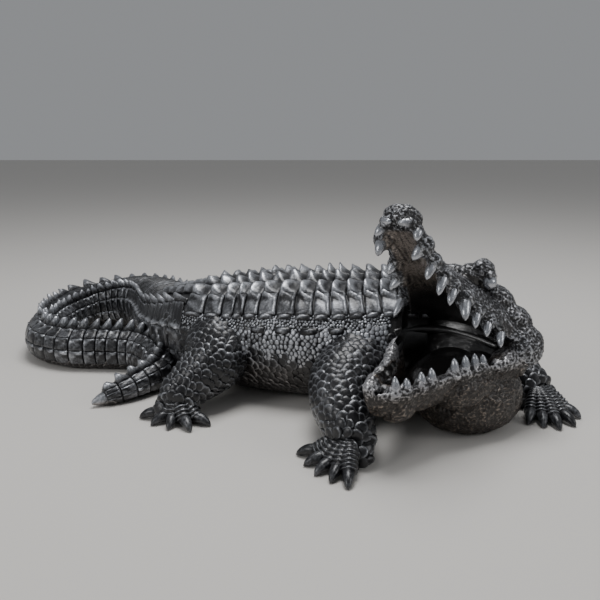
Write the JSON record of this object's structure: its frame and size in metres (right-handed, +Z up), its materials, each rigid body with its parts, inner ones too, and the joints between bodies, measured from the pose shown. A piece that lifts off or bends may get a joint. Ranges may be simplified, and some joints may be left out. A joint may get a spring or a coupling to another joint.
{
  "type": "crocodile sculpture",
  "caption": "Garden crocodile figure in a low stance, tail looped beside the hips, head turned back with jaws wide open, antique silver over black.",
  "frame": {"origin": "middle of the figure's plan on the ground it stands on", "axes": "+Z up, +X from the tail's loop towards the shoulders, -Y the side towards which the open snout points"},
  "size_m": [0.8838, 0.729, 0.3078],
  "materials": {
    "antique_silver": "satin antique silver dry-brushed over black on cast resin"
  },
  "bodies": {
    "root": {"crocodile": "antique_silver"}
  },
  "joints": []
}
